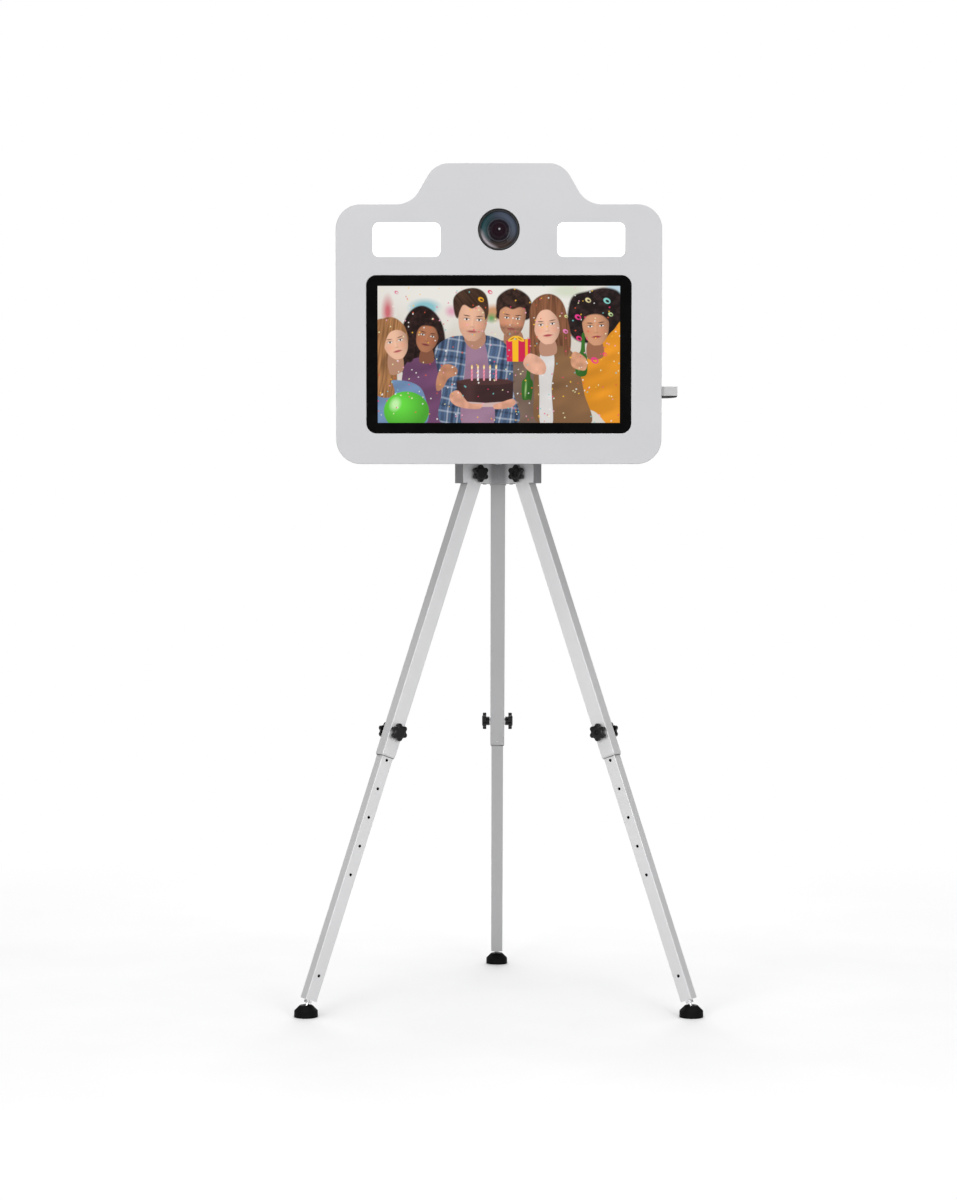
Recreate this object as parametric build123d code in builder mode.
from build123d import *
import os
from math import sin, cos, tan, radians, sqrt

# Photo booth head on a folding tripod.
# Millimetres, +Z up, front towards -Y, origin on the floor at the middle of
# the footprint.  The head is a camera-shaped panel with a display, a lens and
# two flash windows, in front of a sheet-metal housing that sits on a
# three-armed hub.  Three telescoping square legs swing in the hub's arms.

os.makedirs("parts", exist_ok=True)

# ---------------------------------------------------------------- dimensions
# tripod
FOOT_CIRCLE_R = 440.86       # radius of the circle through the ball centres
AXIS_Y = -FOOT_CIRCLE_R / 4  # tripod axis, so that the footprint is centred
LEG_ANGLE = 19.85            # legs' lean from the vertical, degrees
LEG_TOP_R = 56.0             # leg axis from the tripod axis at LEG_TOP_Z
LEG_TOP_Z = 1084.4
UPPER_W, LOWER_W = 30.0, 25.0
TUBE_T = 1.5
PIVOT_S = 3.61               # stations along the leg, from LEG_TOP_Z down
UPPER_TOP_S = -9.05
LOCK_S = 557.4
UPPER_END_S = 607.0
COLLAR_END_S = 609.8
HOLE_PITCH = 60.0
LOWER_TOP_S = 470.0
LOWER_END_S = 1117.3
INSERT_HOLE_S = 1066.6
BALL_S = 1133.4
BALL_R = 5.0
PAD_R, PAD_H = 23.75, 23.5
FIT = 0.05                   # radial clearance of running fits

# hub
HUB_BOTTOM, HUB_TOP = 1062.0, 1104.0
ARM_R, ARM_W = 92.0, 33.5
SLOT_W, SLOT_IN, SLOT_OUT = 30.3, 34.0, 89.0
HUB_CEILING = 1098.2
PLATE_TOP = 1110.0
PIVOT_BOLT_R = 4.0
HUB_BOLT_R, HUB_BOLT_CIRCLE = 4.0, 52.0

# head, measured from the tripod axis (y) and from the panel's bottom edge (z)
PANEL_BOTTOM = 1093.0
PANEL_W, SHOULDER_Z, TOP_Z = 640.0, 507.0, 587.0
HUMP_TOP_HALF, HUMP_ANGLE = 125.0, 60.0
CORNER_R, HUMP_R, HUMP_BASE_R = 48.0, 47.0, 52.0
PANEL_FRONT, PANEL_BACK = -200.0, -196.0
LENS_Z, LENS_HOLE_R = 458.0, 41.0
FLASH_X, FLASH_Z = 181.0, 438.5
FLASH_W, FLASH_H, FLASH_R = 133.0, 67.0, 12.0
SCREEN_Z = 214.4
BEZEL_W, BEZEL_H, BEZEL_R = 521.0, 309.4, 20.0
ACTIVE_W, ACTIVE_H = 476.6, 268.1
HOUSING_INSET, HOUSING_FLOOR = 20.0, 17.0
HOUSING_FRONT, HOUSING_BACK = -195.9, 90.0
SHEET_T = 1.5
FLANGE = 9.0
DOOR_W, DOOR_H, DOOR_Z, DOOR_T = 400.0, 350.0, 265.0, 2.0
DOOR_OPEN_W, DOOR_OPEN_H = 380.0, 330.0
FAN_Z = 480.0
HINGE_X, HINGE_Y = -206.0, 93.6
INLET_X, INLET_Z = 225.0, 55.0
LOCK_X = 180.0


def front(y):
    """Upright plane at y behind the tripod axis; local x is X, local y is
    height above the panel's bottom edge, and extruding goes forwards."""
    return Plane(origin=(0, AXIS_Y + y, PANEL_BOTTOM), x_dir=(1, 0, 0), z_dir=(0, -1, 0))


def level(z):
    """Horizontal plane at height z above the floor, centred on the tripod axis."""
    return Plane(origin=(0, AXIS_Y, z))


def outline_points(inset, floor):
    half = PANEL_W / 2 - inset
    xt = HUMP_TOP_HALF - inset * tan(radians(90 - HUMP_ANGLE))
    run = (TOP_Z - SHOULDER_Z) / tan(radians(HUMP_ANGLE))
    xs = xt + run
    sh, top = SHOULDER_Z - inset, TOP_Z - inset
    return [(-half, floor), (half, floor), (half, sh), (xs, sh), (xt, top),
            (-xt, top), (-xs, sh), (-half, sh)]


def outline_radii(inset):
    c, h, b = CORNER_R - inset, HUMP_R - inset, HUMP_BASE_R + inset
    return [c, c, c, b, h, h, b, c]


# ---------------------------------------------------------------------- head
with BuildPart() as front_panel:
    with BuildSketch(front(PANEL_BACK)):
        with BuildLine():
            FilletPolyline(*outline_points(0, 0), radius=outline_radii(0), close=True)
        make_face()
        with Locations((0, LENS_Z)):
            Circle(LENS_HOLE_R, mode=Mode.SUBTRACT)
        with Locations((-FLASH_X, FLASH_Z), (FLASH_X, FLASH_Z)):
            RectangleRounded(FLASH_W, FLASH_H, FLASH_R, mode=Mode.SUBTRACT)
        with Locations((0, SCREEN_Z)):
            RectangleRounded(BEZEL_W, BEZEL_H, BEZEL_R, mode=Mode.SUBTRACT)
    extrude(amount=PANEL_BACK - PANEL_FRONT)
    chamfer(front_panel.faces().sort_by(Axis.Y)[0].edges(), 0.6)
front_panel.part.label = "front_panel"
export_step(front_panel.part, "parts/front_panel.step")

# weld studs behind the panel with their nuts, inside the housing's flange
STUD_INSET = HOUSING_INSET + 5.3
stud_spots = [(x, HOUSING_FLOOR + 5.3) for x in (-200, 0, 200)]
stud_spots += [(s * (PANEL_W / 2 - STUD_INSET), z) for s in (-1, 1) for z in (120, 260, 400)]
stud_spots += [(s * 230, SHOULDER_Z - STUD_INSET) for s in (-1, 1)]
stud_spots += [(s * 80, TOP_Z - STUD_INSET) for s in (-1, 1)]
TAB_SCREW_Y, TAB_SCREW_Z = -165.0, 143.2
tab_screws = Plane(origin=(PANEL_W / 2 - HOUSING_INSET, AXIS_Y + TAB_SCREW_Y, PANEL_BOTTOM + TAB_SCREW_Z),
                   x_dir=(0, 1, 0), z_dir=(1, 0, 0))
with BuildPart() as head_fasteners:
    # two screws of the side tab, heads inside the housing
    with BuildSketch(tab_screws.offset(-SHEET_T - 3)):
        with Locations((-12, 0), (12, 0)):
            Circle(4.5)
    extrude(amount=3)
    with BuildSketch(tab_screws.offset(-SHEET_T)):
        with Locations((-12, 0), (12, 0)):
            Circle(2.5)
    extrude(amount=18)
    # three bolts through the hub's plate and the housing's floor
    with BuildSketch(level(HUB_TOP - 5.3)):
        with PolarLocations(HUB_BOLT_CIRCLE, 3, start_angle=30):
            RegularPolygon(radius=6.5, side_count=6, major_radius=False)
    extrude(amount=5.3)
    with BuildSketch(level(HUB_TOP)):
        with PolarLocations(HUB_BOLT_CIRCLE, 3, start_angle=30):
            Circle(HUB_BOLT_R)
    extrude(amount=17)
    with BuildSketch(level(PLATE_TOP + SHEET_T)):
        with PolarLocations(HUB_BOLT_CIRCLE, 3, start_angle=30):
            RegularPolygon(radius=6.5, side_count=6, major_radius=False)
    extrude(amount=6.5)
    # the panel's weld studs
    with BuildSketch(front(PANEL_BACK + 9.0)):
        with Locations(*stud_spots):
            Circle(1.5)
    extrude(amount=9.0)
    with BuildSketch(front(PANEL_BACK + 4.1)):
        with Locations(*stud_spots):
            RegularPolygon(radius=2.75, side_count=6, major_radius=False)
    extrude(amount=2.4)
head_fasteners.part.label = "head_fasteners"
export_step(head_fasteners.part, "parts/head_fasteners.step")

# sheet-metal housing: same outline, set in, with an inward front flange
with BuildPart() as housing:
    with BuildSketch(front(HOUSING_BACK)):
        with BuildLine():
            FilletPolyline(*outline_points(HOUSING_INSET, HOUSING_FLOOR),
                           radius=outline_radii(HOUSING_INSET), close=True)
        make_face()
    extrude(amount=HOUSING_BACK - HOUSING_FRONT)
    with BuildSketch(front(HOUSING_BACK - SHEET_T)):
        with BuildLine():
            FilletPolyline(*outline_points(HOUSING_INSET + SHEET_T, HOUSING_FLOOR + SHEET_T),
                           radius=outline_radii(HOUSING_INSET + SHEET_T), close=True)
        make_face()
    extrude(amount=HOUSING_BACK - HOUSING_FRONT - 2 * SHEET_T, mode=Mode.SUBTRACT)
    with BuildSketch(front(HOUSING_FRONT + SHEET_T + 1)):
        with BuildLine():
            FilletPolyline(*outline_points(HOUSING_INSET + FLANGE, HOUSING_FLOOR + FLANGE),
                           radius=outline_radii(HOUSING_INSET + FLANGE), close=True)
        make_face()
    extrude(amount=SHEET_T + 2, mode=Mode.SUBTRACT)
    # stud holes in the front flange
    with BuildSketch(front(HOUSING_FRONT + SHEET_T + 1)):
        with Locations(*stud_spots):
            Circle(1.6)
    extrude(amount=SHEET_T + 2, mode=Mode.SUBTRACT)
    # rear door opening, fan slots, power inlet cut-out
    with BuildSketch(front(HOUSING_BACK + 1)):
        with Locations((0, DOOR_Z)):
            RectangleRounded(DOOR_OPEN_W, DOOR_OPEN_H, 8)
        for k, half in ((-3, 22), (-2, 29), (-1, 33), (0, 35), (1, 33), (2, 29), (3, 22)):
            with Locations((0, FAN_Z + 9.5 * k)):
                SlotOverall(2 * half, 5)
        with Locations((INLET_X, INLET_Z)):
            Rectangle(48.4, 28.4)
    extrude(amount=SHEET_T + 2, mode=Mode.SUBTRACT)
    # hub bolt holes in the floor
    with BuildSketch(level(PLATE_TOP - 1)):
        with PolarLocations(HUB_BOLT_CIRCLE, 3, start_angle=30):
            Circle(HUB_BOLT_R + 0.2)
    extrude(amount=SHEET_T + 2, mode=Mode.SUBTRACT)
    # holes for the side tab's two screws
    with BuildSketch(tab_screws.offset(-3)):
        with Locations((-12, 0), (12, 0)):
            Circle(2.6)
    extrude(amount=5, mode=Mode.SUBTRACT)
housing.part.label = "housing"
export_step(housing.part, "parts/housing.step")

# rear service door with two columns of vent slots
with BuildPart() as rear_door:
    with BuildSketch(front(HOUSING_BACK + 0.3 + DOOR_T)):
        with Locations((0, DOOR_Z)):
            RectangleRounded(DOOR_W, DOOR_H, 12)
        with Locations((0, DOOR_Z - 110)):
            with GridLocations(110, 12, 3, 6):
                SlotOverall(80, 5, mode=Mode.SUBTRACT)
        with Locations((0, DOOR_Z + 110)):
            with GridLocations(110, 12, 3, 6):
                SlotOverall(80, 5, mode=Mode.SUBTRACT)
        with Locations((LOCK_X, DOOR_Z)):
            Circle(9.55, mode=Mode.SUBTRACT)
    extrude(amount=DOOR_T)
rear_door.part.label = "rear_door"
export_step(rear_door.part, "parts/rear_door.step")

HINGE_Z = (150.0, 380.0)
KNUCKLE_R, HINGE_PIN_R = 3.6, 2.0


def hinge_level(z):
    return Plane(origin=(HINGE_X, AXIS_Y + HINGE_Y, PANEL_BOTTOM + z))


# fixed hinge halves with their pins
with BuildPart() as hinge_frame_leaves:
    for zc in HINGE_Z:
        with BuildSketch(hinge_level(zc - 25)):
            with Locations((-15.1, -2.85)):
                Rectangle(21.8, 1.5)
        extrude(amount=50)
        for z0 in (zc - 25, zc + 8.5):
            with BuildSketch(hinge_level(z0)):
                Circle(KNUCKLE_R)
                with Locations((-2.6, -2.85)):
                    Rectangle(5.2, 1.5)
            extrude(amount=16.5)
        with BuildSketch(hinge_level(zc - 25)):
            Circle(HINGE_PIN_R)
        extrude(amount=50)
hinge_frame_leaves.part.label = "hinge_frame_leaves"
export_step(hinge_frame_leaves.part, "parts/hinge_frame_leaves.step")

# moving hinge halves, on the door's outer face
with BuildPart() as hinge_door_leaves:
    for zc in HINGE_Z:
        with BuildSketch(hinge_level(zc - 25)):
            with Locations((15.2, -0.55)):
                Rectangle(21.8, 1.5)
        extrude(amount=50)
        with BuildSketch(hinge_level(zc - 8.2)):
            Circle(KNUCKLE_R)
            with Locations((3.0, -0.55)):
                Rectangle(6.0, 1.5)
            Circle(HINGE_PIN_R + FIT, mode=Mode.SUBTRACT)
        extrude(amount=16.4)
hinge_door_leaves.part.label = "hinge_door_leaves"
export_step(hinge_door_leaves.part, "parts/hinge_door_leaves.step")

# quarter-turn lock: fixed barrel in the door, turning plug with cam
with BuildPart() as door_lock:
    with BuildSketch(front(HOUSING_BACK + 0.3 + DOOR_T + 3.0)):
        with Locations((LOCK_X, DOOR_Z)):
            Circle(12.0)
    extrude(amount=3.0)
    with BuildSketch(front(HOUSING_BACK + 0.3 + DOOR_T)):
        with Locations((LOCK_X, DOOR_Z)):
            Circle(9.5)
    extrude(amount=5.0)
    with BuildSketch(front(HOUSING_BACK + 0.3 + DOOR_T + 4)):
        with Locations((LOCK_X, DOOR_Z)):
            Circle(6.0 + FIT)
    extrude(amount=12.0, mode=Mode.SUBTRACT)
door_lock.part.label = "door_lock"
export_step(door_lock.part, "parts/door_lock.step")

with BuildPart() as lock_cam:
    with BuildSketch(front(HOUSING_BACK + 0.3 + DOOR_T + 3.4)):
        with Locations((LOCK_X, DOOR_Z)):
            Circle(6.0)
    extrude(amount=11.2)
    with BuildSketch(front(HOUSING_BACK - 3.5)):
        with Locations((LOCK_X, DOOR_Z - 12)):
            SlotOverall(40, 15, rotation=90)
    extrude(amount=2.0)
    with BuildSketch(front(HOUSING_BACK + 0.3 + DOOR_T + 3.5)):
        with Locations((LOCK_X, DOOR_Z)):
            Rectangle(1.6, 8.0)
    extrude(amount=2.0, mode=Mode.SUBTRACT)
lock_cam.part.label = "lock_cam"
export_step(lock_cam.part, "parts/lock_cam.step")

# flash windows: opal diffusers with a boss in the window and a flange behind
with BuildPart() as flash_diffusers:
    with BuildSketch(front(PANEL_BACK + 2.1)):
        with Locations((-FLASH_X, FLASH_Z), (FLASH_X, FLASH_Z)):
            RectangleRounded(FLASH_W + 10, FLASH_H + 10, FLASH_R + 4)
    extrude(amount=2.0)
    with BuildSketch(front(PANEL_BACK + 0.1)):
        with Locations((-FLASH_X, FLASH_Z), (FLASH_X, FLASH_Z)):
            RectangleRounded(FLASH_W - 0.5, FLASH_H - 0.5, FLASH_R - 0.25)
    extrude(amount=3.4)
flash_diffusers.part.label = "flash_diffusers"
export_step(flash_diffusers.part, "parts/flash_diffusers.step")

with BuildPart() as led_boards:
    with BuildSketch(front(PANEL_BACK + 12.6)):
        with Locations((-FLASH_X, FLASH_Z), (FLASH_X, FLASH_Z)):
            RectangleRounded(FLASH_W + 8, FLASH_H + 8, 4)
    extrude(amount=1.6)
    with BuildSketch(front(PANEL_BACK + 11.0)):
        with Locations((-FLASH_X, FLASH_Z), (FLASH_X, FLASH_Z)):
            with GridLocations(14, 13, 8, 4):
                Rectangle(5, 5)
    extrude(amount=1.2)
    with BuildSketch(front(PANEL_BACK + 11.0)):
        with Locations((-FLASH_X, FLASH_Z), (FLASH_X, FLASH_Z)):
            with GridLocations(FLASH_W, FLASH_H, 2, 2):
                Circle(3)
    extrude(amount=8.8)
led_boards.part.label = "led_boards"
export_step(led_boards.part, "parts/led_boards.step")

# display: bezel ring with a rebate for the glass, glass, LCD module, straps
with BuildPart() as display_bezel:
    with BuildSketch(front(PANEL_BACK + 4.0)):
        with Locations((0, SCREEN_Z)):
            RectangleRounded(BEZEL_W + 15, BEZEL_H + 15, BEZEL_R + 6)
    extrude(amount=3.9)
    with BuildSketch(front(PANEL_BACK + 0.1)):
        with Locations((0, SCREEN_Z)):
            RectangleRounded(BEZEL_W - 0.6, BEZEL_H - 0.6, BEZEL_R - 0.3)
    extrude(amount=3.7)
    chamfer(display_bezel.faces().sort_by(Axis.Y)[0].edges(), 0.4)
    with BuildSketch(front(PANEL_BACK + 5)):
        with Locations((0, SCREEN_Z)):
            Rectangle(ACTIVE_W, ACTIVE_H)
    extrude(amount=12, mode=Mode.SUBTRACT)
    with BuildSketch(front(PANEL_BACK + 5)):
        with Locations((0, SCREEN_Z)):
            Rectangle(ACTIVE_W + 10, ACTIVE_H + 10)
    extrude(amount=7.6, mode=Mode.SUBTRACT)
display_bezel.part.label = "display_bezel"
export_step(display_bezel.part, "parts/display_bezel.step")

with BuildPart() as touch_glass:
    with BuildSketch(front(PANEL_BACK + 0.4)):
        with Locations((0, SCREEN_Z)):
            Rectangle(ACTIVE_W + 9.6, ACTIVE_H + 9.6)
    extrude(amount=2.95)
touch_glass.part.label = "touch_glass"
export_step(touch_glass.part, "parts/touch_glass.step")

with BuildPart() as lcd_panel:
    with BuildSketch(front(PANEL_BACK + 4.1)):
        with Locations((0, SCREEN_Z)):
            Rectangle(ACTIVE_W + 9, ACTIVE_H + 9)
    extrude(amount=3.6)
    with BuildSketch(front(PANEL_BACK + 15.0)):
        with Locations((0, SCREEN_Z)):
            RectangleRounded(504, 296, 3)
    extrude(amount=10.9)
    with BuildSketch(front(PANEL_BACK + 19.0)):
        with Locations((0, SCREEN_Z - 60)):
            RectangleRounded(220, 110, 4)
    extrude(amount=4.0)
lcd_panel.part.label = "lcd_panel"
export_step(lcd_panel.part, "parts/lcd_panel.step")

# two steel straps that clamp the LCD module to the back of the panel
with BuildPart() as display_straps:
    for x in (-165.0, 135.0):
        with BuildSketch(Plane(origin=(x, AXIS_Y, PANEL_BOTTOM), x_dir=(0, 1, 0), z_dir=(1, 0, 0))):
            with BuildLine():
                Polyline((-195.9, 30), (-193.9, 30), (-193.9, 45.5), (-178.9, 45.5),
                         (-178.9, 383.5), (-193.9, 383.5), (-193.9, 399), (-195.9, 399),
                         (-195.9, 381.5), (-180.9, 381.5), (-180.9, 47.5), (-195.9, 47.5),
                         (-195.9, 30))
            make_face()
        extrude(amount=30)
display_straps.part.label = "display_straps"
export_step(display_straps.part, "parts/display_straps.step")


def lens_plane():
    """Half-section plane of the lens: local x is the radius, local y runs
    forwards along the optical axis from the tripod axis."""
    return Plane(origin=(0, AXIS_Y, PANEL_BOTTOM + LENS_Z), x_dir=(1, 0, 0), z_dir=(0, 0, 1))


# lens barrel: front rim, stepped inner cone, zoom-ring seat, rear mount
with BuildPart() as lens_barrel:
    with BuildSketch(lens_plane()):
        with BuildLine():
            Polyline((37.2, -198.6), (39.0, -198.2), (39.0, -170.2), (34.0, -170.2),
                     (34.0, -141.8), (38.0, -141.8), (38.0, -126.0), (33.0, -124.0),
                     (33.0, -112.0), (14.0, -112.0), (14.0, -160.0), (22.0, -168.0),
                     (22.0, -176.0), (24.6, -176.0), (24.6, -178.0), (27.2, -178.0),
                     (27.2, -180.0), (29.8, -180.0), (29.8, -182.0), (32.4, -182.0),
                     (32.4, -184.0), (34.4, -184.0), (34.4, -187.0), (36.3, -187.0),
                     (36.3, -197.9), (37.2, -198.6))
        make_face()
    revolve(axis=Axis((0, AXIS_Y, PANEL_BOTTOM + LENS_Z), (0, 1, 0)))
lens_barrel.part.label = "lens_barrel"
export_step(lens_barrel.part, "parts/lens_barrel.step")

# ribbed zoom ring on the barrel's seat
with BuildPart() as zoom_ring:
    with BuildSketch(front(-142.0)):
        with Locations((0, LENS_Z)):
            Circle(37.6)
            with PolarLocations(37.6, 36):
                Rectangle(1.4, 3.2)
            Circle(34.0 + FIT, mode=Mode.SUBTRACT)
    extrude(amount=28.0)
zoom_ring.part.label = "zoom_ring"
export_step(zoom_ring.part, "parts/zoom_ring.step")

# large domed front element, a cap of a sphere
DOME_R = (36.2 ** 2 + 5.0 ** 2) / (2 * 5.0)
with BuildPart() as front_element:
    with BuildSketch(lens_plane()):
        with BuildLine():
            Line((0, -188.6), (36.2, -188.6))
            Line((36.2, -188.6), (36.2, -190.6))
            ThreePointArc((36.2, -190.6),
                          (18.2, -195.6 + DOME_R - sqrt(DOME_R ** 2 - 18.2 ** 2)), (0, -195.6))
            Line((0, -195.6), (0, -188.6))
        make_face()
    revolve(axis=Axis((0, AXIS_Y, PANEL_BOTTOM + LENS_Z), (0, 1, 0)))
front_element.part.label = "front_element"
export_step(front_element.part, "parts/front_element.step")

# camera body with hand grip, viewfinder hump and shutter button
with BuildPart() as camera_body:
    with BuildSketch(front(-60.0)):
        with Locations((0, LENS_Z - 4)):
            RectangleRounded(132, 84, 12)
        with Locations((0, LENS_Z + 38)):
            Trapezoid(60, 22, 62)
    extrude(amount=51.9)
    with BuildSketch(front(-66.0)):
        with Locations((-52, LENS_Z - 6)):
            RectangleRounded(26, 74, 10)
    extrude(amount=66)
    fillet(camera_body.faces().sort_by(Axis.Y)[-1].edges(), 3)
camera_body.part.label = "camera_body"
export_step(camera_body.part, "parts/camera_body.step")

# hanging shelf for the camera
with BuildPart() as camera_shelf:
    with BuildSketch(Plane(origin=(0, AXIS_Y - 35, PANEL_BOTTOM), x_dir=(1, 0, 0), z_dir=(0, -1, 0))):
        with BuildLine():
            Polyline((-215, 483.3), (-215, 485.3), (-188, 485.3), (-188, 405), (188, 405),
                     (188, 485.3), (215, 485.3), (215, 483.3), (190, 483.3), (190, 403),
                     (-190, 403), (-190, 483.3), (-215, 483.3))
        make_face()
        with Locations((0, 408.4)):
            Rectangle(70, 7.0)
    extrude(amount=80)
camera_shelf.part.label = "camera_shelf"
export_step(camera_shelf.part, "parts/camera_shelf.step")

# small computer and power supply on the housing's floor
FLOOR_IN = PLATE_TOP + SHEET_T
with BuildPart() as mini_pc:
    with BuildSketch(Plane(origin=(165, AXIS_Y - 10, FLOOR_IN + 3))):
        RectangleRounded(170, 150, 14)
    extrude(amount=36)
    chamfer(mini_pc.faces().sort_by(Axis.Z)[-1].edges(), 1.5)
    with BuildSketch(Plane(origin=(165, AXIS_Y - 10, FLOOR_IN))):
        with GridLocations(130, 110, 2, 2):
            Circle(7)
    extrude(amount=3)
    with BuildSketch(Plane(origin=(165, AXIS_Y - 10 + 76, FLOOR_IN + 3), x_dir=(1, 0, 0), z_dir=(0, -1, 0))):
        with Locations((-60, 17), (-20, 17), (12, 17), (36, 17)):
            Rectangle(16, 7)
        with Locations((62, 17)):
            Circle(4)
    extrude(amount=6, mode=Mode.SUBTRACT)
mini_pc.part.label = "mini_pc"
export_step(mini_pc.part, "parts/mini_pc.step")

with BuildPart() as power_supply:
    with BuildSketch(Plane(origin=(-175, AXIS_Y - 20, FLOOR_IN))):
        Rectangle(180, 98)
    extrude(amount=42)
    with BuildSketch(Plane(origin=(-175, AXIS_Y - 20, FLOOR_IN + 43))):
        with GridLocations(12, 12, 12, 6):
            Circle(3.2)
    extrude(amount=-2.5, mode=Mode.SUBTRACT)
    with BuildSketch(Plane(origin=(-85, AXIS_Y - 20, FLOOR_IN + 14), x_dir=(0, 1, 0), z_dir=(1, 0, 0))):
        with GridLocations(11, 1, 8, 1):
            Rectangle(9.4, 14)
    extrude(amount=9)
    with BuildSketch(Plane(origin=(-85, AXIS_Y - 20, FLOOR_IN + 5))):
        Rectangle(24, 92)
    extrude(amount=2)
power_supply.part.label = "power_supply"
export_step(power_supply.part, "parts/power_supply.step")

# mains inlet module with a pocket for its rocker
with BuildPart() as power_inlet:
    with BuildSketch(front(HOUSING_BACK + 2.5)):
        with Locations((INLET_X, INLET_Z)):
            RectangleRounded(58, 34, 4)
    extrude(amount=2.5)
    with BuildSketch(front(HOUSING_BACK)):
        with Locations((INLET_X, INLET_Z)):
            Rectangle(48, 28)
    extrude(amount=24)
    # socket recess with three flat pins left standing
    with BuildSketch(front(HOUSING_BACK + 3)):
        with BuildLine():
            Polyline(*[(INLET_X - 10 + x, INLET_Z + z) for x, z in
                       ((-12.2, -8), (12.2, -8), (12.2, 4), (8.5, 8), (-8.5, 8), (-12.2, 4), (-12.2, -8))])
        make_face()
        with Locations((INLET_X - 17, INLET_Z - 1.5), (INLET_X - 3, INLET_Z - 1.5)):
            Rectangle(2, 5, mode=Mode.SUBTRACT)
        with Locations((INLET_X - 10, INLET_Z + 2.5)):
            Rectangle(2, 5, mode=Mode.SUBTRACT)
    extrude(amount=18, mode=Mode.SUBTRACT)
    with BuildSketch(front(HOUSING_BACK + 3)):
        with Locations((INLET_X + 14, INLET_Z)):
            Rectangle(13.2, 20.6)
    extrude(amount=13, mode=Mode.SUBTRACT)
power_inlet.part.label = "power_inlet"
export_step(power_inlet.part, "parts/power_inlet.step")

# rocker paddle: a shallow V, tipped to its off side
ROCKER_Y = HOUSING_BACK - 2.0
rocker_plane = Plane(origin=(INLET_X + 14 - 6.2, AXIS_Y + ROCKER_Y, PANEL_BOTTOM + INLET_Z),
                     x_dir=(0, cos(radians(7)), sin(radians(7))), z_dir=(1, 0, 0))
with BuildPart() as power_rocker:
    with BuildSketch(rocker_plane):
        with BuildLine():
            Polyline((-5.5, -3), (0, -8.6), (4.6, -9.0), (3.3, 0), (4.6, 9.0), (0, 8.6),
                     (-5.5, 3), (-5.5, -3))
        make_face()
    extrude(amount=12.4)
power_rocker.part.label = "power_rocker"
export_step(power_rocker.part, "parts/power_rocker.step")

# exhaust fan behind the slots
FAN_BACK = HOUSING_BACK - SHEET_T
with BuildPart() as fan_frame:
    with BuildSketch(front(FAN_BACK)):
        with Locations((0, FAN_Z)):
            RectangleRounded(80, 80, 5)
            Circle(38.0, mode=Mode.SUBTRACT)
            with GridLocations(71.5, 71.5, 2, 2):
                Circle(2.2, mode=Mode.SUBTRACT)
    extrude(amount=25)
    with BuildSketch(front(FAN_BACK)):
        with Locations((0, FAN_Z)):
            Circle(16)
            Rectangle(78, 4)
            Rectangle(4, 78)
            Circle(1.5 + FIT, mode=Mode.SUBTRACT)
    extrude(amount=3)
fan_frame.part.label = "fan_frame"
export_step(fan_frame.part, "parts/fan_frame.step")

with BuildPart() as fan_rotor:
    with BuildSketch(front(FAN_BACK - 4)):
        with Locations((0, FAN_Z)):
            Circle(16)
    extrude(amount=19)
    with BuildSketch(front(FAN_BACK - 0.5)):
        with Locations((0, FAN_Z)):
            Circle(1.5)
    extrude(amount=4)
    for k in range(7):
        a = radians(k * 360 / 7)
        u = Vector(cos(a), 0, sin(a))
        w = Vector(-sin(a), 0, cos(a))
        tilt = radians(40)
        chord = w * cos(tilt) + Vector(0, 1, 0) * sin(tilt)
        with BuildSketch(Plane(origin=Vector(0, AXIS_Y + FAN_BACK - 14, PANEL_BOTTOM + FAN_Z) + u * 14,
                               x_dir=chord, z_dir=u)):
            SlotOverall(20, 1.4)
        extrude(amount=22)
fan_rotor.part.label = "fan_rotor"
export_step(fan_rotor.part, "parts/fan_rotor.step")

# grey tab on the housing's right wall: square front corner, round rear corner
TAB_Z0, TAB_T = 134.0, 18.5
with BuildPart() as side_tab:
    with BuildSketch(Plane(origin=(PANEL_W / 2 - HOUSING_INSET, AXIS_Y, PANEL_BOTTOM + TAB_Z0))):
        with BuildLine():
            Line((0, -190), (52, -190))
            Line((52, -190), (52, -170))
            ThreePointArc((52, -170), (52 - 30 * (1 - cos(radians(45))), -170 + 30 * sin(radians(45))), (22, -140))
            Line((22, -140), (0, -140))
            Line((0, -140), (0, -190))
        make_face()
    extrude(amount=TAB_T)
    with BuildSketch(tab_screws):
        with Locations((-12, 0), (12, 0)):
            Circle(2.6)
    extrude(amount=20, mode=Mode.SUBTRACT)
    chamfer(side_tab.faces().sort_by(Axis.Z)[-1].edges(), 0.5)
    chamfer(side_tab.faces().sort_by(Axis.Z)[0].edges(), 0.5)
side_tab.part.label = "side_tab"
export_step(side_tab.part, "parts/side_tab.step")

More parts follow.
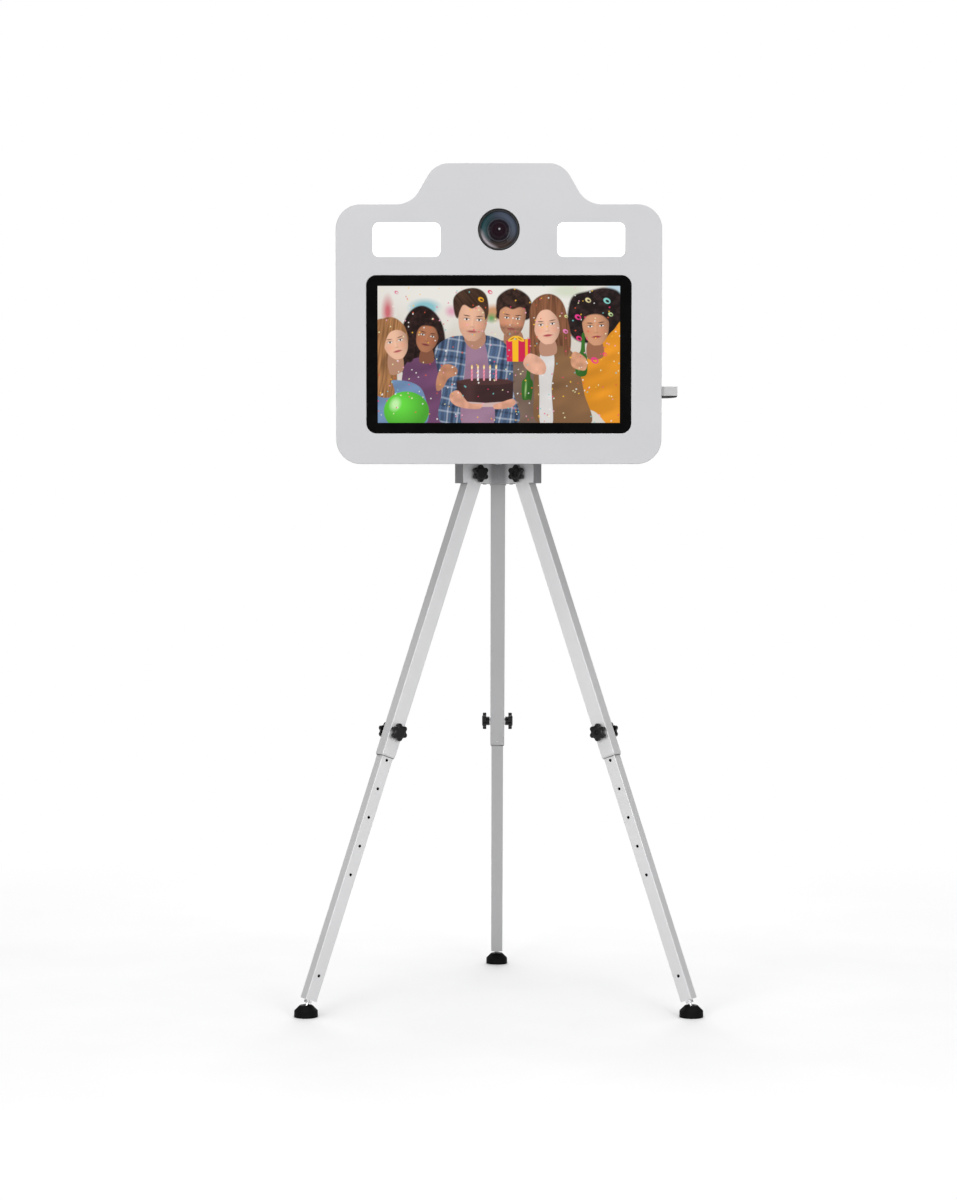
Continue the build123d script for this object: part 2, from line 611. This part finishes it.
# ----------------------------------------------------------------------- hub
with BuildPart() as hub:
    with BuildSketch(level(HUB_BOTTOM)):
        with PolarLocations(ARM_R / 2, 3, start_angle=90):
            Rectangle(ARM_R, ARM_W)
    extrude(amount=HUB_TOP - HUB_BOTTOM)
    with BuildSketch(level(HUB_TOP)):
        RectangleRounded(150, 130, 12)
    extrude(amount=PLATE_TOP - HUB_TOP)
    with BuildSketch(level(HUB_BOTTOM)):
        with PolarLocations((SLOT_IN + SLOT_OUT) / 2, 3, start_angle=90):
            Rectangle(SLOT_OUT - SLOT_IN, SLOT_W)
    extrude(amount=HUB_CEILING - HUB_BOTTOM, mode=Mode.SUBTRACT)
    with BuildSketch(level(HUB_TOP - 1)):
        with PolarLocations(HUB_BOLT_CIRCLE, 3, start_angle=30):
            Circle(HUB_BOLT_R + 0.2)
    extrude(amount=10, mode=Mode.SUBTRACT)
    for az in (90, 210, 330):
        r = Vector(cos(radians(az)), sin(radians(az)), 0)
        t = Vector(-sin(radians(az)), cos(radians(az)), 0)
        radius = LEG_TOP_R + PIVOT_S * sin(radians(LEG_ANGLE))
        height = LEG_TOP_Z - PIVOT_S * cos(radians(LEG_ANGLE))
        with BuildSketch(Plane(origin=Vector(0, AXIS_Y, height) + r * radius, x_dir=r, z_dir=t)):
            Circle(PIVOT_BOLT_R + FIT)
        extrude(amount=20, both=True, mode=Mode.SUBTRACT)
hub.part.label = "hub"
export_step(hub.part, "parts/hub.step")

# ---------------------------------------------------------------- star knobs
KNOB_TIP_R, KNOB_NECK_R = 18.0, 9.5
KNOB_NECK, KNOB_DISC, KNOB_DOME = 7.0, 7.6, 1.5


def star_knob(base, shank_r, shank_len, closed):
    """Six-lobed knob standing on plane base, its shank going back from it.
    A closed knob has a domed cap, an open one a through hole or the shank's
    end showing in a recess."""
    with BuildPart() as knob:
        with BuildSketch(base):
            Circle(KNOB_NECK_R)
        extrude(amount=KNOB_NECK + 1)
        with BuildSketch(base.offset(KNOB_NECK)) as star:
            Circle(14.2)
            with PolarLocations(12.6, 6):
                Circle(KNOB_TIP_R - 12.6)
            fillet(star.vertices(), 3.0)
        extrude(amount=KNOB_DISC)
        top = knob.faces().sort_by(Axis(base.origin, base.z_dir))[-1]
        fillet(top.edges(), 1.6)
        with BuildSketch(base.offset(KNOB_NECK + KNOB_DISC)):
            Circle(12.0)
        extrude(amount=KNOB_DOME, taper=55)
        if closed:
            with BuildSketch(base.offset(-shank_len)):
                Circle(shank_r)
            extrude(amount=shank_len)
        else:
            with BuildSketch(base.offset(KNOB_NECK + KNOB_DISC + KNOB_DOME + 1)):
                Circle(shank_r + 1.6)
            extrude(amount=-4.5, mode=Mode.SUBTRACT)
            if shank_len > 0:
                with BuildSketch(base.offset(-shank_len)):
                    Circle(shank_r)
                extrude(amount=shank_len + KNOB_NECK + KNOB_DISC + KNOB_DOME - 1.2)
            else:
                with BuildSketch(base.offset(-1)):
                    Circle(shank_r + FIT)
                extrude(amount=30, mode=Mode.SUBTRACT)
    return knob


# ---------------------------------------------------------------------- legs
ALPHA = radians(LEG_ANGLE)
hole_stations = [LOCK_S - HOLE_PITCH, LOCK_S] + [LOCK_S + HOLE_PITCH * k for k in range(1, 6)] + [INSERT_HOLE_S]

for side, az in (("rear", 90), ("left", 210), ("right", 330)):
    r = Vector(cos(radians(az)), sin(radians(az)), 0)
    t = Vector(-sin(radians(az)), cos(radians(az)), 0)
    down = r * sin(ALPHA) + Vector(0, 0, -cos(ALPHA))
    out = r * cos(ALPHA) + Vector(0, 0, sin(ALPHA))
    top_point = Vector(0, AXIS_Y, LEG_TOP_Z) + r * LEG_TOP_R
    # leg frame: local x across the leg, local y outwards, local z down the leg
    leg = Plane(origin=top_point, x_dir=t, z_dir=down)

    def across(s, sign=1):
        """Plane through the leg's axis at station s, facing across the leg."""
        return Plane(origin=top_point + down * s, x_dir=(0, 0, 1), z_dir=t * sign)

    # upper tube
    with BuildPart() as upper_leg:
        with BuildSketch(leg.offset(UPPER_TOP_S)):
            RectangleRounded(UPPER_W, UPPER_W, 1.2)
            RectangleRounded(UPPER_W - 2 * TUBE_T, UPPER_W - 2 * TUBE_T, 0.5, mode=Mode.SUBTRACT)
        extrude(amount=UPPER_END_S - UPPER_TOP_S)
        with BuildSketch(across(PIVOT_S)):
            Circle(PIVOT_BOLT_R + FIT)
        extrude(amount=20, both=True, mode=Mode.SUBTRACT)
        with BuildSketch(across(LOCK_S)):
            Circle(5.0)
        extrude(amount=20, both=True, mode=Mode.SUBTRACT)
        with BuildSketch(Plane(origin=top_point + down * (UPPER_END_S - 5.5), x_dir=t, z_dir=out * -1)):
            Circle(1.7)
        extrude(amount=20, mode=Mode.SUBTRACT)
    upper_leg.part.label = "upper_leg_" + side
    export_step(upper_leg.part, "parts/upper_leg_" + side + ".step")

    # plastic guide bush with a tapered collar and a rivet button
    with BuildPart() as guide_bush:
        with BuildSketch(leg.offset(UPPER_END_S - 25)):
            RectangleRounded(UPPER_W - 2 * TUBE_T - 0.1, UPPER_W - 2 * TUBE_T - 0.1, 0.5)
        extrude(amount=25)
        with BuildSketch(leg.offset(UPPER_END_S)):
            RectangleRounded(UPPER_W, UPPER_W, 1.2)
        with BuildSketch(leg.offset(COLLAR_END_S)):
            RectangleRounded(UPPER_W - 2.6, UPPER_W - 2.6, 1.2)
        loft()
        with BuildSketch(leg.offset(UPPER_END_S - 30)):
            RectangleRounded(LOWER_W + 0.2, LOWER_W + 0.2, 0.9)
        extrude(amount=40, mode=Mode.SUBTRACT)
        with BuildSketch(Plane(origin=top_point + down * (UPPER_END_S - 5.5) - out * 12.9, x_dir=t, z_dir=out * -1)):
            Circle(1.6)
        extrude(amount=2.1)
        with BuildSketch(Plane(origin=top_point + down * (UPPER_END_S - 5.5) - out * 15.0, x_dir=t, z_dir=out * -1)):
            Circle(2.9)
        extrude(amount=1.0, taper=35)
    guide_bush.part.label = "guide_bush_" + side
    export_step(guide_bush.part, "parts/guide_bush_" + side + ".step")

    # two press nuts at the lock, flanges outside
    with BuildPart() as lock_nuts:
        for sign in (1, -1):
            with BuildSketch(across(LOCK_S, sign).offset(UPPER_W / 2 - TUBE_T)):
                Circle(4.95)
                Circle(3.0 + FIT, mode=Mode.SUBTRACT)
            extrude(amount=TUBE_T)
            with BuildSketch(across(LOCK_S, sign).offset(UPPER_W / 2)):
                Circle(9.0)
                Circle(3.0 + FIT, mode=Mode.SUBTRACT)
            extrude(amount=1.8)
    lock_nuts.part.label = "lock_nuts_" + side
    export_step(lock_nuts.part, "parts/lock_nuts_" + side + ".step")

    # lower tube with index holes through its side faces
    with BuildPart() as lower_leg:
        with BuildSketch(leg.offset(LOWER_TOP_S)):
            RectangleRounded(LOWER_W, LOWER_W, 1.2)
            RectangleRounded(LOWER_W - 2 * TUBE_T, LOWER_W - 2 * TUBE_T, 0.5, mode=Mode.SUBTRACT)
        extrude(amount=LOWER_END_S - LOWER_TOP_S)
        for s in hole_stations:
            with BuildSketch(across(s)):
                Circle(3.1)
            extrude(amount=20, both=True, mode=Mode.SUBTRACT)
    lower_leg.part.label = "lower_leg_" + side
    export_step(lower_leg.part, "parts/lower_leg_" + side + ".step")

    # slide plug in the lower tube's top, foot insert in its bottom
    bore_w = LOWER_W - 2 * TUBE_T - 0.1
    with BuildPart() as leg_plugs:
        with BuildSketch(leg.offset(LOWER_TOP_S - 8)):
            RectangleRounded(UPPER_W - 2 * TUBE_T - 0.2, UPPER_W - 2 * TUBE_T - 0.2, 0.9)
        extrude(amount=8)
        with BuildSketch(leg.offset(LOWER_TOP_S)):
            RectangleRounded(bore_w, bore_w, 0.5)
        extrude(amount=16)
        with BuildSketch(leg.offset(LOWER_END_S - 40)):
            RectangleRounded(bore_w, bore_w, 0.5)
            Circle(4.0 + FIT, mode=Mode.SUBTRACT)
        extrude(amount=40)
    leg_plugs.part.label = "leg_plugs_" + side
    export_step(leg_plugs.part, "parts/leg_plugs_" + side + ".step")

    # ball stud: shank, hexagon, neck and ball
    ball = top_point + down * BALL_S
    with BuildPart() as foot_stud:
        with BuildSketch(leg.offset(LOWER_END_S - 34)):
            Circle(4.0)
        extrude(amount=34 + 6.5)
        with BuildSketch(leg.offset(LOWER_END_S + 1.2)):
            RegularPolygon(radius=6.5, side_count=6, major_radius=False)
        extrude(amount=5.0)
        with BuildSketch(leg.offset(LOWER_END_S + 6)):
            Circle(3.0)
        extrude(amount=BALL_S - LOWER_END_S - 6)
        with Locations(Location(ball)):
            Sphere(BALL_R)
    foot_stud.part.label = "foot_stud_" + side
    export_step(foot_stud.part, "parts/foot_stud_" + side + ".step")

    # domed pad with a ball socket and a flared mouth for the stud's lean
    lip = 2.3
    socket_r = BALL_R + FIT
    mouth = sqrt(socket_r ** 2 - lip ** 2)
    with BuildPart() as foot_pad:
        with BuildSketch(Plane(origin=(ball.X, ball.Y, 0), x_dir=r, z_dir=t * -1)):
            with BuildLine():
                Line((0, 0), (22.9, 0))
                ThreePointArc((22.9, 0), (PAD_R - 0.25, 0.35), (PAD_R, 1.0))
                Line((PAD_R, 1.0), (23.4, 11.6))
                ThreePointArc((23.4, 11.6), (23.1, 12.7), (22.4, 13.6))
                Line((22.4, 13.6), (13.6, 22.4))
                ThreePointArc((13.6, 22.4), (12.4, 23.2), (11.0, PAD_H))
                Line((11.0, PAD_H), (6.4, PAD_H))
                Line((6.4, PAD_H), (mouth, ball.Z + lip))
                ThreePointArc((mouth, ball.Z + lip),
                              (socket_r * cos(radians(-30)), ball.Z + socket_r * sin(radians(-30))),
                              (0, ball.Z - socket_r))
                Line((0, ball.Z - socket_r), (0, 0))
            make_face()
        revolve(axis=Axis((ball.X, ball.Y, 0), (0, 0, 1)))
    foot_pad.part.label = "foot_pad_" + side
    export_step(foot_pad.part, "parts/foot_pad_" + side + ".step")

    # clamp knobs at the lock: screws end just clear of the lower tube
    knob_base = UPPER_W / 2 + 1.8 + 0.1
    reach = knob_base - (LOWER_W / 2 + 0.1)
    lock_knob_a = star_knob(across(LOCK_S, 1).offset(knob_base), 3.0, reach, True)
    lock_knob_a.part.label = "lock_knob_a_" + side
    export_step(lock_knob_a.part, "parts/lock_knob_a_" + side + ".step")
    lock_knob_b = star_knob(across(LOCK_S, -1).offset(knob_base), 3.0, reach, False)
    lock_knob_b.part.label = "lock_knob_b_" + side
    export_step(lock_knob_b.part, "parts/lock_knob_b_" + side + ".step")

    # pivot: knob with a through bolt on one side, nut knob on the other
    pivot_base = ARM_W / 2 + 0.1
    bolt_len = 2 * pivot_base + KNOB_NECK + KNOB_DISC + KNOB_DOME - 1.6
    pivot_knob = star_knob(across(PIVOT_S, 1).offset(pivot_base), PIVOT_BOLT_R, bolt_len, True)
    pivot_knob.part.label = "pivot_knob_" + side
    export_step(pivot_knob.part, "parts/pivot_knob_" + side + ".step")
    pivot_nut_knob = star_knob(across(PIVOT_S, -1).offset(pivot_base), PIVOT_BOLT_R, 0, False)
    pivot_nut_knob.part.label = "pivot_nut_knob_" + side
    export_step(pivot_nut_knob.part, "parts/pivot_nut_knob_" + side + ".step")

    print(side, "ball", ball, "pivot", top_point + down * PIVOT_S, "lock", top_point + down * LOCK_S)
